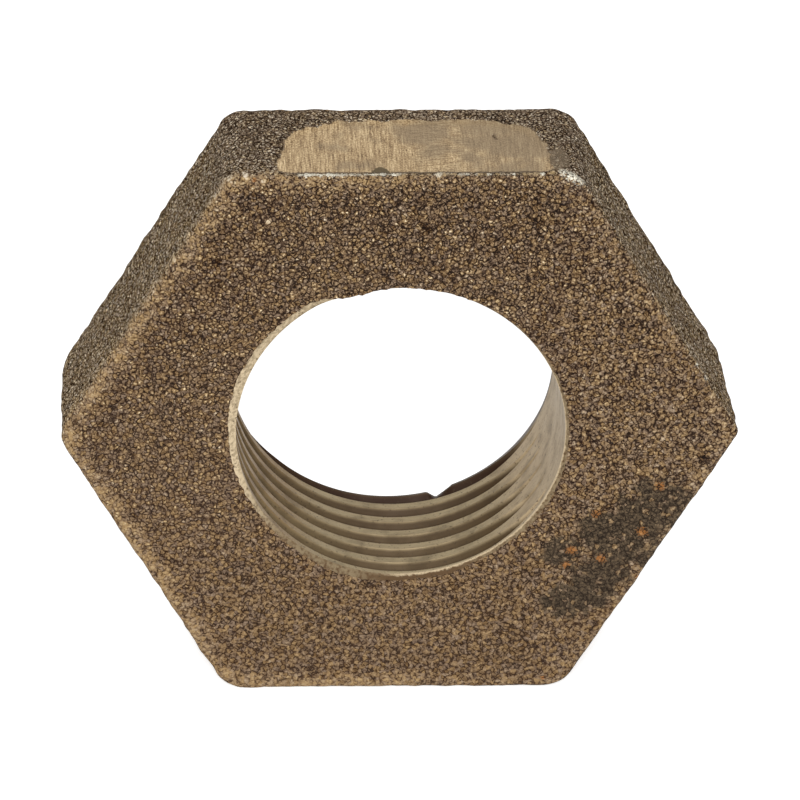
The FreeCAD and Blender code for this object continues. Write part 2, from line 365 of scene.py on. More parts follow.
# What the finishes need to know of each point: cast skin or cut wall, how near a worn outer edge, how deep
# in a groove, and whether it is on the nut's sides.
WORN_BAND = 1.3 * MM
WORN_BEHIND = 0.9 * MM
BACK_LIMIT = 0.99
EDGE_SHARPNESS = 6.0
JOIN_GAP = 0.006 * MM
near_edge = (1.0 - abs(radius - outline) / WORN_BAND).clipped()
behind_front = (1.0 - (skin_depth - size["front_edge_radius"]).most(0.0) / WORN_BEHIND).clipped()
fading = (size["groove_depth"] - depth_here) * 0.5
on_sides = edge_turn.of("SINE") ** EDGE_SHARPNESS * (1.0 - back_share) * (1.0 - in_bore)
before_back = 1.0 - back_share.above(BACK_LIMIT)
skin_kept = stored(grid.outputs["Mesh"], "skin", (1.0 - in_bore) * before_back)
wear_kept = stored(skin_kept, "wear", near_edge * behind_front * (1.0 - in_bore))
cut_kept = stored(wear_kept, "cut", (groove - wall - fading) / MM)
side_kept = stored(cut_kept, "side", on_sides)
ring = nut_node("GeometryNodeSetPosition", Geometry=side_kept, Position=place.outputs[0])
joined = nut_node("GeometryNodeMergeByDistance", Geometry=ring.outputs[0], Distance=JOIN_GAP)
closed = nut_node("GeometryNodeFlipFaces", Mesh=joined.outputs[0])

# Sand leaves low swellings on the casting, higher on its sides, which stop at the tapped bore. Each kind of
# swelling has a width, a seed and a share.
FACE_LUMPS = [(5.0 * MM, 3.1, 0.8), (1.7 * MM, 7.4, 1.0), (0.8 * MM, 1.9, 0.55)]
SIDE_LUMPS = [(1.9 * MM, 5.8, 1.0), (0.9 * MM, 2.2, 0.7)]
LUMP_LEVEL = 0.4


def swellings(lumps):
    """Several kinds of swelling added up."""
    return sum(sand_lumps(width, seed) * share for width, seed, share in lumps)


face_swelling = swellings(FACE_LUMPS) - LUMP_LEVEL
side_swelling = swellings(SIDE_LUMPS) * read_back("side")
lump_lift = (face_swelling * size["lump_height"]
             + side_swelling * size["side_lump_height"]) * read_back("skin")
outwards = nut_tree.nodes.new("ShaderNodeVectorMath")
outwards.operation = "SCALE"
nut_tree.links.new(nut_node("GeometryNodeInputNormal").outputs[0], outwards.inputs[0])
nut_tree.links.new(lump_lift.socket, outwards.inputs["Scale"])
lumpy = nut_node("GeometryNodeSetPosition", Geometry=closed.outputs[0], Offset=outwards.outputs[0])

# The gate's stub was ground off the top flat, most at the front edge, where a wavy burr was turned up. The
# facet runs out towards the back.
FACET_EASE = 0.35
FACET_SQUARENESS = 4.0
FACET_RUN_OUT = 1.0 * MM
TOP_SHARE = 0.4
BURR_BREADTH = 0.75 * MM
BURR_WAVE_WIDTH = 1.6 * MM
BURR_WAVE_SEED = 8.8
BURR_WAVE_SHARE = 1.2
lump_x, lump_y, lump_z = split_place()
behind = lump_y + half_thick
from_front = behind / size["facet_length"]
facet_lean = size["facet_lean"] * from_front.most(0.0)
from_middle = abs(lump_x - size["facet_middle"] - facet_lean) / (size["facet_half_width"] - facet_lean)
facet_room = (1.0 - from_front.most(0.0) ** FACET_SQUARENESS - from_middle ** FACET_SQUARENESS).most(0.0)
ground_off = (size["facet_depth"] * (1.0 - from_front * FACET_EASE)).least(facet_room * FACET_RUN_OUT)
flat_height = size["across_flats"] * 0.5 - behind * size["draft_slope"]
burr_wave = 1.0 + sand_lumps(BURR_WAVE_WIDTH, BURR_WAVE_SEED) * BURR_WAVE_SHARE
burr_rise = (1.0 - behind / BURR_BREADTH).clipped() * size["burr_height"] * burr_wave
ground_height = flat_height - ground_off.most(0.0) + burr_rise
on_facet = facet_room.above(0.0) * lump_z.above(size["across_flats"] * TOP_SHARE)
taken_off = (lump_z - ground_height).most(0.0) * on_facet
ground_kept = stored(lumpy.outputs[0], "ground", taken_off / MM)
drop = nut_node("ShaderNodeCombineXYZ", Z=read_back("ground") * -MM)
ground = nut_node("GeometryNodeSetPosition", Geometry=ground_kept, Offset=drop.outputs[0])

# Edges sharper than the cast lumps, as on the thread, stay crisp.
SHARP_EDGE = math.radians(40)
WALL_BELOW = 0.8
edge_angle = Amount(nut_tree, nut_node("GeometryNodeInputMeshEdgeAngle").outputs["Unsigned Angle"])
smooth_faces = nut_node("GeometryNodeSetShadeSmooth", Geometry=ground.outputs[0], Shade_Smooth=True)
crisp_edges = nut_node("GeometryNodeSetShadeSmooth", Geometry=smooth_faces.outputs[0],
                       Shade_Smooth=1.0 - edge_angle.above(SHARP_EDGE))
crisp_edges.domain = "EDGE"
whole = nut_node("GeometryNodeRealizeInstances", Geometry=crisp_edges.outputs[0])
skinned = nut_node("GeometryNodeSetMaterial", Geometry=whole.outputs[0],
                   Material=nut_in.outputs["cast_skin"])
walled = nut_node("GeometryNodeSetMaterial", Geometry=skinned.outputs[0],
                  Selection=WALL_BELOW - read_back("skin"), Material=nut_in.outputs["tapped_wall"])
nut_out = nut_node("NodeGroupOutput")
nut_tree.links.new(walled.outputs[0], nut_out.inputs[0])


def shown(red, green, blue):
    """A colour as a screen shows it, from 0 to 255, turned into the light that it stands for."""
    return [(part / 255 / 12.92 if part < 11 else ((part / 255 + 0.055) / 1.055) ** 2.4)
            for part in (red, green, blue)] + [1.0]


class Finish:
    """A material on the piece's own coordinates, with short names for the textures it is mixed from."""

    SHIFT_ALONG = (1.0, 0.7, 1.3)
    FIRST_COLOUR = 6
    SECOND_COLOUR = 7
    MIXED_COLOUR = 2

    def __init__(self, name):
        self.material = bpy.data.materials.new(name)
        self.material.use_nodes = True
        self.tree = self.material.node_tree
        self.shader = self.tree.nodes["Principled BSDF"]
        self.coordinates = self.tree.nodes.new("ShaderNodeTexCoord").outputs["Object"]

    def axes(self):
        """The x, y and z of each point in millimetres."""
        split = self.tree.nodes.new("ShaderNodeSeparateXYZ")
        self.tree.links.new(self.coordinates, split.inputs[0])
        return [Amount(self.tree, socket) / MM for socket in split.outputs]

    def laid(self, stretch, shift):
        """Coordinates drawn out along the axes, and moved so that no two textures match."""
        lay = self.tree.nodes.new("ShaderNodeMapping")
        lay.inputs["Location"].default_value = [shift * share for share in self.SHIFT_ALONG]
        lay.inputs["Scale"].default_value = [1.0 / length for length in stretch]
        self.tree.links.new(self.coordinates, lay.inputs["Vector"])
        return lay.outputs[0]

    def noise(self, place, width, detail):
        texture = self.tree.nodes.new("ShaderNodeTexNoise")
        texture.inputs["Scale"].default_value = 1.0 / width
        texture.inputs["Detail"].default_value = detail
        self.tree.links.new(place, texture.inputs["Vector"])
        return texture

    def clouds(self, width, shift=0.0, detail=2.0, stretch=(1.0, 1.0, 1.0)):
        """Soft noise from 0 to 1 with patches about as wide as given."""
        return Amount(self.tree, self.noise(self.laid(stretch, shift), width, detail).outputs[0])

    def grains(self, width, waver):
        """Packed uneven grains: how far a point is from its grain's middle and rim, and two tones."""
        shove = self.tree.nodes.new("ShaderNodeVectorMath")
        shove.operation = "MULTIPLY_ADD"
        shove.inputs[1].default_value = [waver] * 3
        self.tree.links.new(self.noise(self.coordinates, width, 1.0).outputs["Color"], shove.inputs[0])
        self.tree.links.new(self.coordinates, shove.inputs[2])
        cells = self.tree.nodes.new("ShaderNodeTexVoronoi")
        rims = self.tree.nodes.new("ShaderNodeTexVoronoi")
        rims.feature = "DISTANCE_TO_EDGE"
        for texture in (cells, rims):
            texture.inputs["Scale"].default_value = 1.0 / width
            self.tree.links.new(shove.outputs[0], texture.inputs["Vector"])
        tones = self.tree.nodes.new("ShaderNodeSeparateColor")
        self.tree.links.new(cells.outputs["Color"], tones.inputs[0])
        return [Amount(self.tree, socket)
                for socket in (cells.outputs["Distance"], rims.outputs["Distance"],
                               tones.outputs[0], tones.outputs[1])]

    def from_point(self, point, place):
        """How far the laid coordinates are, in millimetres, from a point given in millimetres."""
        gap = self.tree.nodes.new("ShaderNodeVectorMath")
        gap.operation = "DISTANCE"
        gap.inputs[1].default_value = [part * MM for part in point]
        self.tree.links.new(place, gap.inputs[0])
        return Amount(self.tree, gap.outputs["Value"]) / MM

    def kept(self, name):
        """An amount that the form kept on its points."""
        read = self.tree.nodes.new("ShaderNodeAttribute")
        read.attribute_name = name
        return Amount(self.tree, read.outputs["Fac"])

    def coloured(self, share, first, second):
        """The first colour where the share is 0 and the second where it is 1."""
        mix = self.tree.nodes.new("ShaderNodeMix")
        mix.data_type = "RGBA"
        self.tree.links.new(share.socket, mix.inputs[0])
        for number, colour in ((self.FIRST_COLOUR, first), (self.SECOND_COLOUR, second)):
            if isinstance(colour, bpy.types.NodeSocket):
                self.tree.links.new(colour, mix.inputs[number])
            else:
                mix.inputs[number].default_value = colour
        return mix.outputs[self.MIXED_COLOUR]

    def toned(self, amount, stops):
        """Colours along an amount, from the lowest stop to the highest."""
        low, high = stops[0][0], stops[-1][0]
        ramp = self.tree.nodes.new("ShaderNodeValToRGB")
        marks = ramp.color_ramp.elements
        while len(marks) < len(stops):
            marks.new(0.5)
        for mark, (level, colour) in zip(marks, stops):
            mark.position = (level - low) / (high - low)
            mark.color = colour
        self.tree.links.new(((amount - low) / (high - low)).socket, ramp.inputs[0])
        return ramp.outputs[0]

    def feed(self, name, value):
        socket = value.socket if isinstance(value, Amount) else value
        self.tree.links.new(socket, self.shader.inputs[name])

    def relief(self, height, depth):
        bump = self.tree.nodes.new("ShaderNodeBump")
        bump.inputs["Distance"].default_value = depth
        self.tree.links.new(height.socket, bump.inputs["Height"])
        self.feed("Normal", bump.outputs[0])


# Cast skin: bronze that took the grain of the sand. Handling has worn the grains' tops to a golden tan, and
# dark scale is left in the pits between them. Places are in millimetres. In a pair of places or levels, the
# first is where a change starts and the second is where it is full.
skin = Finish("cast_skin")
GOLDEN_TONES = [
    (0.0, shown(30, 17, 8)),
    (0.3, shown(70, 48, 27)),
    (0.5, shown(112, 88, 60)),
    (0.7, shown(148, 121, 85)),
    (0.95, shown(191, 165, 124)),
    (1.2, shown(240, 220, 184)),
]
GREY_TONES = [
    (0.0, shown(26, 18, 14)),
    (0.3, shown(64, 50, 40)),
    (0.5, shown(105, 86, 70)),
    (0.7, shown(139, 119, 99)),
    (0.95, shown(188, 171, 147)),
    (1.2, shown(240, 228, 208)),
]
RIM_GOLD = shown(160, 131, 90)
GRAIN_WIDTH = 0.35 * MM
GRAIN_WAVER = 0.26 * MM
SAND_WIDTH = 0.14 * MM
CRACK_WIDTH = 0.36 * MM
COARSE_WIDTH = 0.8 * MM
TOP_FLAT_Z = (20.5, 22.0)
ROLLED_Y = (2.5, 5.0)
LOWER_Z = (-4.0, -16.0)
RIGHT_X = (8.0, 16.0)
CLUMPED_X = (-4.0, 12.0)
RUBBED_X = (8.0, -6.0)
PATCH_LEVELS = (0.44, 0.58)
CRACK_LEVELS = (0.66, 0.44)
CRACK_RIM = (0.16, 0.02)
TOP_REACH = (0.4, 0.1)
TOP_TONES = (0.3, 1.0)
RIM_LEVELS = (0.35, 0.75)
skin_x, skin_y, skin_z = skin.axes()
from_grain, to_rim, grain_tone, grain_hue = skin.grains(GRAIN_WIDTH, GRAIN_WAVER)
sand = skin.clouds(SAND_WIDTH, shift=1.7)
crack_runs = skin.clouds(CRACK_WIDTH, shift=4.4)
coarse = skin.clouds(COARSE_WIDTH, shift=7.1)
side = skin.kept("side")
on_top = side * skin_z.between(*TOP_FLAT_Z)
rolled = on_top * skin_y.between(*ROLLED_Y)
lower = skin_z.between(*LOWER_Z) * (1.0 - side)
patchy = lower.most(skin_x.between(*RIGHT_X) * (1.0 - side))
flat_patches = (crack_runs.between(*PATCH_LEVELS) - 0.5) * patchy
contrast = 1.0 + skin_z * 0.01 - lower * 0.1
rubbed = 0.35 + skin_x.between(*RUBBED_X) * 0.65
worn = skin.kept("wear") * (coarse * 2.0 - 0.4).clipped() * rubbed
open_cracks = 0.3 + crack_runs.between(*CRACK_LEVELS) * 0.7
cracks = to_rim.between(*CRACK_RIM) * open_cracks * (1.0 - worn * 0.5)
tops = from_grain.between(*TOP_REACH) * grain_tone.between(*TOP_TONES)

# How strongly each part of the grain shows, place by place. The sides are roughest, the rolled edge least.
# On the sides part of the extra contrast is painted shade of the grain seen edge-on, and their raised level
# is partly a painted sheen.
crack_depth = contrast * 0.4 + side * 0.36 - on_top * 0.1 - rolled * 0.2
top_lift = contrast * 0.36 + side * 0.14 - on_top * 0.12 - patchy * 0.22
sand_spread = 1.05 + skin_z * 0.024 + side * 1.8 - on_top * 0.9 - rolled * 0.8
clump_spread = 0.06 + skin_x.between(*CLUMPED_X) * 0.2 + side * 0.3
plain_level = 0.57 + side * 0.17 - skin_z * 0.001 + patchy * 0.02 - lower * 0.04
grain_height = (plain_level - cracks * crack_depth + tops * top_lift + (grain_tone - 0.5) * 0.08
                + (sand - 0.5) * sand_spread + (coarse - 0.5) * clump_spread + flat_patches * 0.16)

# Oil has stained the lower right of the front face. Most specks of rust lie in it, and dark pits and
# painted glints elsewhere. A spot is its x, its z and its radius.
DEPTH_LEFT_OUT = (1.0, 1.0e6, 1.0)
FRONT_Y = (-5.3, -5.7)
SPOT_RIM = (1.2, 0.4)
front_place = skin.laid(DEPTH_LEFT_OUT, 0.0)
at_front = skin_y.between(*FRONT_Y)


def from_spots(spots):
    """How many of its own radii away the nearest spot of the front face is."""
    reach = None
    for spot_x, spot_z, spot_radius in spots:
        gap = skin.from_point((spot_x, 0.0, spot_z), front_place) / spot_radius
        reach = gap if reach is None else reach.least(gap)
    return reach


def spotted(spots, ragged):
    """1 on the spots and 0 off them, with ragged rims."""
    return (from_spots(spots) + (sand - 0.5) * ragged).between(*SPOT_RIM) * at_front


STAIN_SPOTS = [
    (21.1, -6.0, 2.2), (19.4, -7.6, 2.6), (17.6, -9.4, 2.8), (15.7, -8.4, 1.5), (13.2, -10.8, 1.5),
    (16.8, -12.4, 2.2), (15.4, -14.6, 2.0), (13.6, -15.2, 1.8), (22.3, -7.6, 1.3), (20.9, -9.8, 1.2),
    (20.0, -11.4, 0.9),
]
STAIN_TONES = [
    (0.0, shown(34, 27, 20)),
    (0.35, shown(56, 46, 36)),
    (0.55, shown(72, 61, 48)),
    (0.8, shown(104, 87, 67)),
    (1.2, shown(190, 168, 136)),
]
STAIN_CLOUD = 1.3 * MM
STAIN_RAGGED = 1.8
STAIN_RIM = (1.15, 0.7)
CLEAN_TONES = (0.8, 0.9)
stain_cloud = skin.clouds(STAIN_CLOUD, shift=3.3, detail=3.0)
clean_grains = grain_tone.between(*CLEAN_TONES) * 0.7
stain = (from_spots(STAIN_SPOTS) + (stain_cloud - 0.5) * STAIN_RAGGED).between(*STAIN_RIM) * (
    1.0 - clean_grains) * at_front

RUST_SPECKS = [
    (15.8, -7.2, 0.4), (19.5, -8.9, 0.5), (13.9, -10.5, 0.45), (16.3, -11.3, 0.45), (13.5, -11.9, 0.35),
    (20.8, -4.7, 0.45), (19.2, -13.1, 0.2), (11.9, -22.4, 0.2), (-11.6, 22.9, 0.2),
]
RUST_ORANGE = shown(162, 104, 50)
RUST_RAGGED = 2.6
RUST_LEVELS = (0.2, 0.6)
DARK_SPOTS = [(1.85, 18.7, 0.6), (10.5, 19.2, 0.5), (-14.5, 15.7, 0.45), (24.2, -2.3, 0.5)]
DARK_RAGGED = 0.8
# Painted glints: small bright spots of light on grains along the upper-left edge and one on the right edge.
GRAIN_GLINT_SPOTS = [
    (-13.5, 22.8, 0.26), (-12.3, 23.2, 0.3), (-14.7, 21.3, 0.24), (-10.9, 22.8, 0.22), (-16.7, 18.0, 0.2),
    (-17.8, 15.8, 0.22), (-10.5, 19.3, 0.3), (-15.8, 16.0, 0.2), (24.1, 5.8, 0.5),
]
GRAIN_GLINT_RAGGED = 1.6
rust = spotted(RUST_SPECKS, RUST_RAGGED)
dark_pits = spotted(DARK_SPOTS, DARK_RAGGED)
painted_glints = spotted(GRAIN_GLINT_SPOTS, GRAIN_GLINT_RAGGED)
# The painted glints lift the level to the brightest tones.
skin_level = grain_height + worn * 0.22 - dark_pits * 0.3 + painted_glints * 0.5
grey_share = (grain_hue * (1.0 - tops * 0.6) + on_top * (0.5 - tops)).clipped()
skin_colour = skin.coloured(grey_share, skin.toned(skin_level, GOLDEN_TONES),
                            skin.toned(skin_level, GREY_TONES))
skin_colour = skin.coloured(worn * skin_level.between(*RIM_LEVELS) * 0.6, skin_colour, RIM_GOLD)
skin_colour = skin.coloured(stain * 0.95, skin_colour, skin.toned(skin_level, STAIN_TONES))
skin_colour = skin.coloured(rust * skin_level.between(*RUST_LEVELS) * 0.7, skin_colour, RUST_ORANGE)

# Ground facet: fine scratches run from back to front, and the wheel's chatter crosses its middle. It has
# dulled to grey towards the right and the back, its front has a notch, and a smear lies beside it.
FACET_TONES = [
    (0.0, shown(100, 77, 50)),
    (0.5, shown(178, 151, 113)),
    (1.0, shown(228, 205, 164)),
]
FACET_GREY = shown(132, 115, 92)
BURR_SHADE = shown(70, 55, 38)
FINE_SCRATCH = 0.1 * MM
FINE_STRETCH = (1.0, 16.0, 16.0)
WIDE_SCRATCH = 0.3 * MM
WIDE_STRETCH = (1.0, 12.0, 12.0)
SPECKLE_WIDTH = 0.14 * MM
CHATTER_WIDTH = 0.13 * MM
CHATTER_STRETCH = (6.0, 1.0, 1.0)
CHATTER_X = 2.9
CHATTER_HALF = 4.5
DULL_WIDTH = 3.0 * MM
DULL_LEVELS = (0.4, 0.66)
WANDER_WIDTH = 0.5 * MM
WANDER_STRETCH = (1.0, 6.0, 6.0)
BURR_SHADOW_Y = (-5.3, -5.42)
fine_scratch = skin.clouds(FINE_SCRATCH, shift=2.3, stretch=FINE_STRETCH)
wide_scratch = skin.clouds(WIDE_SCRATCH, shift=7.7, stretch=WIDE_STRETCH)
speckle = skin.clouds(SPECKLE_WIDTH, shift=9.4)
chatter = skin.clouds(CHATTER_WIDTH, shift=5.6, stretch=CHATTER_STRETCH)
chattered = abs(skin_x - CHATTER_X).between(CHATTER_HALF, 0.0)
facet_level = (0.5 + (fine_scratch - 0.5) * (1.5 - chattered * 0.9) + (wide_scratch - 0.5) * 0.5
               + (speckle - 0.5) * 1.6 + (chatter - 0.5) * chattered * 1.6)
dull_cloud = skin.clouds(DULL_WIDTH, shift=8.1)
dulled = (dull_cloud + skin_x * 0.026 + skin_y * 0.024).between(*DULL_LEVELS)
burr_wander = skin.clouds(WANDER_WIDTH, shift=2.6, detail=3.0, stretch=WANDER_STRETCH)
# Painted shadow: a thin dark line on the facet just behind the burr, where the bead shades it.
burr_shadow_line = skin_y + speckle * 0.2 + (burr_wander - 0.5) * 0.5
facet_colour = skin.toned(facet_level, FACET_TONES)
facet_colour = skin.coloured(dulled * 0.65, facet_colour, FACET_GREY)
facet_colour = skin.coloured(burr_shadow_line.between(*BURR_SHADOW_Y) * 0.8, facet_colour, BURR_SHADE)

NOTCH_OLIVE = shown(84, 71, 47)
NOTCH_X = -1.78
NOTCH_Y = -5.5
NOTCH_HALF = 0.72
NOTCH_LENGTH = 0.87
NOTCH_RIM = (1.1, 0.85)
notch_x = (skin_x - NOTCH_X) / NOTCH_HALF
notch_y = (skin_y - NOTCH_Y) / NOTCH_LENGTH
notch = (notch_x * notch_x + notch_y + (speckle - 0.5) * 0.4).between(*NOTCH_RIM)
facet_colour = skin.coloured(notch * 0.9, facet_colour, NOTCH_OLIVE)

SMEAR_GREY = shown(146, 129, 107)
SMEAR_X = 12.1
SMEAR_Y = -3.7
SMEAR_HALF_WIDTH = 0.8
SMEAR_HALF_LENGTH = 2.0
SMEAR_RIM = (1.4, 0.5)
SMEAR_Z = (21.8, 22.3)
smear_x = (skin_x - SMEAR_X) / SMEAR_HALF_WIDTH
smear_y = (skin_y - SMEAR_Y) / SMEAR_HALF_LENGTH
from_smear = smear_x * smear_x + smear_y * smear_y + (coarse - 0.5) * 1.6
smear = from_smear.between(*SMEAR_RIM) * skin_z.between(*SMEAR_Z)
skin_colour = skin.coloured(smear * 0.7, skin_colour, SMEAR_GREY)

FACET_FRONT_Y = (-5.74, -5.6)
BARE_DEPTH = (0.0, 0.05)
bare_depth = skin.kept("ground") - (sand - 0.5) * 0.1
bare = bare_depth.between(*BARE_DEPTH) * skin_y.between(*FACET_FRONT_Y)
skin_colour = skin.coloured(bare, skin_colour, facet_colour)

# Burr: the facet's front edge, turned up into a thin wandering bead. It is dull gold with runs of painted
# white highlight, and a few painted white glints lie on the edges to its right. A run is its middle and
# half its length.
PAINTED_HIGHLIGHT_WHITE = shown(255, 248, 228)
BURR_GOLD = shown(184, 158, 116)
BURR_HIGHLIGHT_RUNS = [
    (-6.8, 1.6), (-2.6, 0.3), (-1.75, 0.16), (-0.9, 0.32), (6.65, 0.16), (8.45, 0.16), (10.75, 0.16),
]
RUN_END = (0.1, -0.06)
EDGE_GLINT_SPOTS = [
    (12.4, 23.3, 0.3), (12.9, 23.1, 0.34), (13.3, 22.9, 0.34), (13.8, 22.6, 0.34), (14.2, 22.4, 0.26),
    (23.45, 6.25, 0.2), (24.25, 4.95, 0.22),
]
EDGE_GLINT_RAGGED = 3.0
RUN_SPECKLE = (0.26, 0.4)
SPOT_SPECKLE = (0.4, 0.52)
BURR_Y = -5.93
BURR_Z = 23.3
BURR_MIDDLE = 1.8
BURR_HALF = 10.2
BURR_FADE = 0.5
BURR_REACH = (0.3, 0.16)
GOLD_WIDTH = 0.5 * MM
GOLD_STRETCH = (1.0, 9.0, 9.0)
GOLD_LEVELS = (0.4, 0.6)
SHINE_WIDTH = 1.1 * MM
SHINE_STRETCH = (1.0, 4.0, 4.0)
SHINE_LEVELS = (0.48, 0.6)
off_burr_y = skin_y - BURR_Y
off_burr_z = skin_z - BURR_Z
from_burr = (off_burr_y * off_burr_y + off_burr_z * off_burr_z).of("SQRT")
along_burr = abs(skin_x - BURR_MIDDLE).between(BURR_HALF, BURR_HALF - BURR_FADE)
burr = (from_burr + (speckle - 0.5) * 0.6 + (burr_wander - 0.5) * 0.9).between(*BURR_REACH) * along_burr
burr_gold = skin.clouds(GOLD_WIDTH, shift=3.7, stretch=GOLD_STRETCH).between(*GOLD_LEVELS)
# Painted highlight: white runs of light along the burr's bead.
highlight_cloud = skin.clouds(SHINE_WIDTH, shift=6.1, detail=3.0, stretch=SHINE_STRETCH) - skin_x * 0.012
burr_highlight = highlight_cloud.between(*SHINE_LEVELS) * 0.6
for run_middle, run_half in BURR_HIGHLIGHT_RUNS:
    run_ends = [run_half + gap for gap in RUN_END]
    burr_highlight = burr_highlight.most(abs(skin_x - run_middle).between(*run_ends))
# Painted glints: white spots of light on the top edge right of the burr and on the right ridge.
edge_glints = spotted(EDGE_GLINT_SPOTS, EDGE_GLINT_RAGGED) * speckle.between(*SPOT_SPECKLE)
skin_colour = skin.coloured(burr * burr_gold * 0.8, skin_colour, BURR_GOLD)
skin_colour = skin.coloured(burr * burr_highlight * speckle.between(*RUN_SPECKLE), skin_colour, PAINTED_HIGHLIGHT_WHITE)
skin_colour = skin.coloured(edge_glints, skin_colour, PAINTED_HIGHLIGHT_WHITE)

# The facet and the gold of the burr gleam as metal, the grains' tops a little, and the pits not at all.
GLEAM_LEVELS = (0.5, 1.0)
GRAIN_RELIEF = 0.15 * MM
metal = bare.most(burr * burr_gold * (1.0 - burr_highlight))
gleam = grain_height.between(*GLEAM_LEVELS)
skin.feed("Base Color", skin_colour)
skin.feed("Metallic", mixed(metal, gleam * 0.3, 0.7))
skin.feed("Roughness", mixed(metal, 0.74 - gleam * 0.2, 0.34 + facet_level * 0.16))
skin.feed("Specular IOR Level", (1.0 - side) * 0.06)
skin.relief(mixed(bare, skin_level, fine_scratch * 0.1), GRAIN_RELIEF)

# Tapped wall: the bore was cut by a tap, which left clean metal with fine marks round it. Painted shade
# darkens the flanks and the far end, while the mouth's bevel is bright and the thread's run-out on the
# right is painted lit.
wall_finish = Finish("tapped_wall")
CREST_TAN = shown(164, 147, 115)
FLANK_SHADE_BROWN = shown(80, 64, 42)
LEFT_OLIVE = shown(108, 92, 66)
LEFT_TAN = shown(142, 117, 82)
FAR_SHADE_BROWN = shown(46, 28, 17)
MOUTH_CREAM = shown(200, 181, 149)
LIP_BROWN = shown(88, 68, 47)
LIP_TAN = shown(126, 110, 85)
RUN_OUT_LIT_GREY = shown(170, 150, 119)
WALL_DIRT = shown(66, 53, 37)
TAP_MARKS = 0.1 * MM
TAP_MARK_STRETCH = (10.0, 1.0, 10.0)
TAP_STREAKS = 0.45 * MM
TAP_STREAK_STRETCH = (8.0, 1.0, 8.0)
DIRT_WIDTH = 1.6 * MM
PORE_WIDTH = 0.22 * MM
LIP_GRAIN = 0.3 * MM
wall_x, bore_y, wall_z = wall_finish.axes()
wall_depth = bore_y + NUT_SIZES["thickness"] / MM / 2
tap_marks = wall_finish.clouds(TAP_MARKS, shift=4.0, stretch=TAP_MARK_STRETCH)
tap_streaks = wall_finish.clouds(TAP_STREAKS, shift=1.2, detail=3.0, stretch=TAP_STREAK_STRETCH)
dirt = wall_finish.clouds(DIRT_WIDTH, shift=6.6, detail=3.0)
pores = wall_finish.clouds(PORE_WIDTH, shift=2.9)
lip_grain = wall_finish.clouds(LIP_GRAIN, shift=8.3, detail=3.0)

# Crests and flanks, with dirt in the tap's marks. The flanks are painted in shade, lighter olive on the
# left, and the crests on the right are painted lit.
FLANK_CUT = (-0.2, 0.26)
LEFT_FLANK_X = (-1.0, -10.0)
RUN_OUT_X = (6.5, 10.5)
LEFT_X = (-5.0, -10.0)
DIRT_LEVELS = (0.45, 0.75)
MARK_LEVELS = (0.5, 0.8)
STREAK_LEVELS = (0.5, 0.75)
FAR_DEPTH = (4.0, 11.0)
END_DEPTH = (11.4, 12.0)
flank = wall_finish.kept("cut").between(*FLANK_CUT)
# Painted shade: the flanks are darker brown, a lighter olive on the left.
flank_shade_colour = wall_finish.coloured(wall_x.between(*LEFT_FLANK_X), FLANK_SHADE_BROWN, LEFT_OLIVE)
# Painted light: the crests turn a lighter grey on the right, where the lamp reaches into the bore.
wall_colour = wall_finish.coloured(wall_x.between(*RUN_OUT_X), CREST_TAN, RUN_OUT_LIT_GREY)
wall_colour = wall_finish.coloured(wall_x.between(*LEFT_X), wall_colour, LEFT_TAN)
wall_colour = wall_finish.coloured(flank, wall_colour, flank_shade_colour)
wall_colour = wall_finish.coloured(dirt.between(*DIRT_LEVELS) * 0.4, wall_colour, WALL_DIRT)
wall_colour = wall_finish.coloured(tap_marks.between(*MARK_LEVELS) * 0.3, wall_colour, WALL_DIRT)
wall_colour = wall_finish.coloured(tap_streaks.between(*STREAK_LEVELS) * 0.2, wall_colour, WALL_DIRT)
# Painted shade: the flanks darken deeper in the bore, and the far end is dark.
wall_colour = wall_finish.coloured(wall_depth.between(*FAR_DEPTH) * flank * 0.4, wall_colour, FAR_SHADE_BROWN)
wall_colour = wall_finish.coloured(wall_depth.between(*END_DEPTH) * 0.85, wall_colour, FAR_SHADE_BROWN)

# Mouth: a brown lip with tan stretches, a cream bevel on the left and a painted cream highlight line on the
# right.
LIP_DEPTH = (0.2, 0.12)
LIP_BROWN_X = 2.0
LIP_TAN_OFF = (2.5, 6.0)
LIP_TAN_LEVELS = (0.3, 0.6)
BEVEL_DEPTH = (0.85, 0.45)
BEVEL_LEFT = (4.0, 12.0)
BEVEL_LEVELS = (0.38, 0.6)
LINE_START = (0.1, 0.14)
LINE_END = (0.36, 0.28)
LINE_X = (-2.0, 1.0)
PORE_LEVELS = (0.6, 0.72)
at_lip = (wall_depth + (pores - 0.5) * 0.12).between(*LIP_DEPTH)
tan_lip = at_lip * abs(wall_x - LIP_BROWN_X).between(*LIP_TAN_OFF) * lip_grain.between(*LIP_TAN_LEVELS)
on_left = (wall_z * 0.5 - wall_x).between(*BEVEL_LEFT)
bevel = (wall_depth + (pores - 0.5) * 0.5).between(*BEVEL_DEPTH)
bright_mouth = bevel * on_left * (0.5 + lip_grain.between(*BEVEL_LEVELS) * 0.5)
lip_highlight = (wall_depth + (pores - 0.5) * 0.1).between(*LINE_START) * wall_depth.between(*LINE_END)
wall_colour = wall_finish.coloured(at_lip, wall_colour, LIP_BROWN)
wall_colour = wall_finish.coloured(tan_lip, wall_colour, LIP_TAN)
wall_colour = wall_finish.coloured(bright_mouth, wall_colour, MOUTH_CREAM)
# Painted highlight: a thin cream line of light along the lip on the right.
wall_colour = wall_finish.coloured(lip_highlight * wall_x.between(*LINE_X) * 0.7, wall_colour, MOUTH_CREAM)
wall_colour = wall_finish.coloured(pores.between(*PORE_LEVELS) * 0.7, wall_colour, WALL_DIRT)

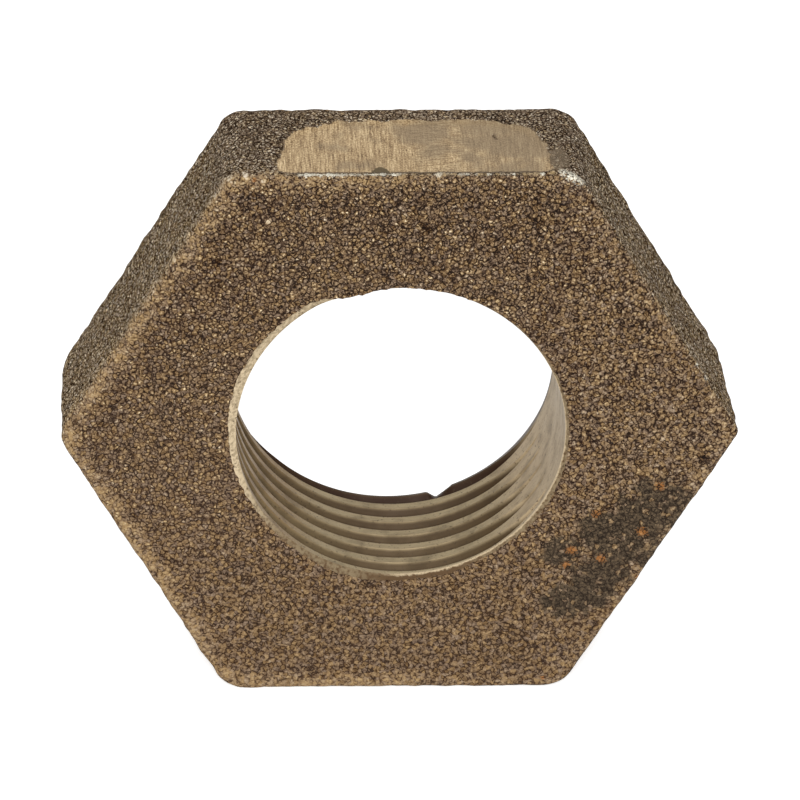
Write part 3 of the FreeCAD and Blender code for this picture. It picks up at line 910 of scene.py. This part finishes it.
WALL_SHEEN = 0.1
MARK_RELIEF = 0.012 * MM
wall_finish.feed("Base Color", wall_colour)
wall_finish.feed("Roughness", 0.36 + dirt * 0.25)
wall_finish.feed("Metallic", 0.45 - flank * 0.3)
wall_finish.shader.inputs["Specular IOR Level"].default_value = WALL_SHEEN
wall_finish.relief(tap_marks, MARK_RELIEF)

# The form is worked out once, and what it makes is kept as a plain mesh in place of the CAD's plain solid.
nut_start = bpy.data.objects.new("nut_start", bpy.data.meshes.new("nut_start"))
bpy.context.scene.collection.objects.link(nut_start)
form = nut_start.modifiers.new("nut_form", "NODES")
form.node_group = nut_tree
finishes = {"cast_skin": skin.material, "tapped_wall": wall_finish.material}
for item in nut_tree.interface.items_tree:
    if item.in_out == "INPUT":
        form[item.identifier] = finishes.get(item.name, NUT_SIZES.get(item.name))
ready = nut_start.evaluated_get(bpy.context.evaluated_depsgraph_get())
nut_mesh = bpy.data.meshes.new_from_object(ready)
nut_mesh.name = "handwheel_nut_skin"
nut_mesh.materials.pop(index=0)
bpy.data.objects.remove(nut_start)
nut = bpy.data.objects.new("handwheel_nut_skin", nut_mesh)
bpy.context.scene.collection.objects.link(nut)
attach(nut, "root")
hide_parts("handwheel_nut")

# Studio: a wide sheet of pale paper under the nut, white all round it, and one soft square lamp in front.
# The lens is long. It looks down at the nut from a little to its left, as for a product photograph.
FLOOR_HALF = 3.0
FLOOR_PALE = (0.9, 0.9, 0.9, 1.0)
FLOOR_GLOW = 0.55
PURE_WHITE = (1.0, 1.0, 1.0, 1.0)
SKY_LIGHT = 0.55


def seen_ray(tree):
    """1 for a ray that the eye follows, straight or by mirror or glass, and 0 for one that gives light."""
    ray = tree.nodes.new("ShaderNodeLightPath")
    kinds = [Amount(tree, ray.outputs[name])
             for name in ("Is Camera Ray", "Is Glossy Ray", "Is Transmission Ray")]
    return kinds[0].most(kinds[1]).most(kinds[2])


floor_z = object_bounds()[0].z
floor_mesh = bpy.data.meshes.new("floor")
floor_mesh.from_pydata(
    [(-FLOOR_HALF, -FLOOR_HALF, floor_z), (FLOOR_HALF, -FLOOR_HALF, floor_z),
     (FLOOR_HALF, FLOOR_HALF, floor_z), (-FLOOR_HALF, FLOOR_HALF, floor_z)], [], [(0, 1, 2, 3)])
floor = bpy.data.objects.new("floor", floor_mesh)
bpy.context.scene.collection.objects.link(floor)
floor_paper = bpy.data.materials.new("floor_paper")
floor_paper.use_nodes = True
paper = floor_paper.node_tree.nodes["Principled BSDF"]
paper.inputs["Base Color"].default_value = FLOOR_PALE
paper.inputs["Roughness"].default_value = 1.0
paper.inputs["Specular IOR Level"].default_value = 0.0
paper.inputs["Emission Color"].default_value = PURE_WHITE
paper_glow = seen_ray(floor_paper.node_tree) * FLOOR_GLOW
floor_paper.node_tree.links.new(paper_glow.socket, paper.inputs["Emission Strength"])
floor_mesh.materials.append(floor_paper)

world = bpy.data.worlds.new("studio_white")
bpy.context.scene.world = world
world.use_nodes = True
sky = world.node_tree.nodes["Background"]
sky.inputs["Color"].default_value = PURE_WHITE
sky_strength = mixed(seen_ray(world.node_tree), SKY_LIGHT, 1.0)
world.node_tree.links.new(sky_strength.socket, sky.inputs["Strength"])

KEY_PLACE = Vector((-0.05, -0.75, 0.5))
KEY_WIDTH = 0.35
KEY_POWER = 6.6
key_light = bpy.data.lights.new("key_lamp", "AREA")
key_light.size = KEY_WIDTH
key_light.energy = KEY_POWER
key_lamp = bpy.data.objects.new("key_lamp", key_light)
key_lamp.location = KEY_PLACE
key_lamp.rotation_euler = (-KEY_PLACE).to_track_quat("-Z", "Y").to_euler()
bpy.context.scene.collection.objects.link(key_lamp)

SENSOR_WIDTH = 36.0
LENS_LENGTH = 379.0
AZIMUTH = math.radians(-2.8759)
ELEVATION = math.radians(29.6784)
ROLL = math.radians(1.131)
DISTANCE = 669.48 * MM
AIM_RIGHT = 0.334 * MM
AIM_UP = -0.31 * MM
camera = bpy.data.cameras.new("camera")
camera.sensor_width = SENSOR_WIDTH
camera.lens = LENS_LENGTH
camera_stand = bpy.data.objects.new("camera", camera)
towards = Vector((math.sin(AZIMUTH) * math.cos(ELEVATION),
                  -math.cos(AZIMUTH) * math.cos(ELEVATION),
                  math.sin(ELEVATION)))
sideways = Vector((math.cos(AZIMUTH), math.sin(AZIMUTH), 0.0))
upright = towards.cross(sideways)
right = sideways * math.cos(ROLL) + upright * math.sin(ROLL)
up = upright * math.cos(ROLL) - sideways * math.sin(ROLL)
camera_stand.matrix_world = Matrix.Translation(towards * DISTANCE + right * AIM_RIGHT + up * AIM_UP) @ (
    Matrix((right, up, towards)).transposed().to_4x4())
bpy.context.scene.collection.objects.link(camera_stand)
bpy.context.scene.camera = camera_stand
bpy.context.scene.view_settings.view_transform = "Standard"
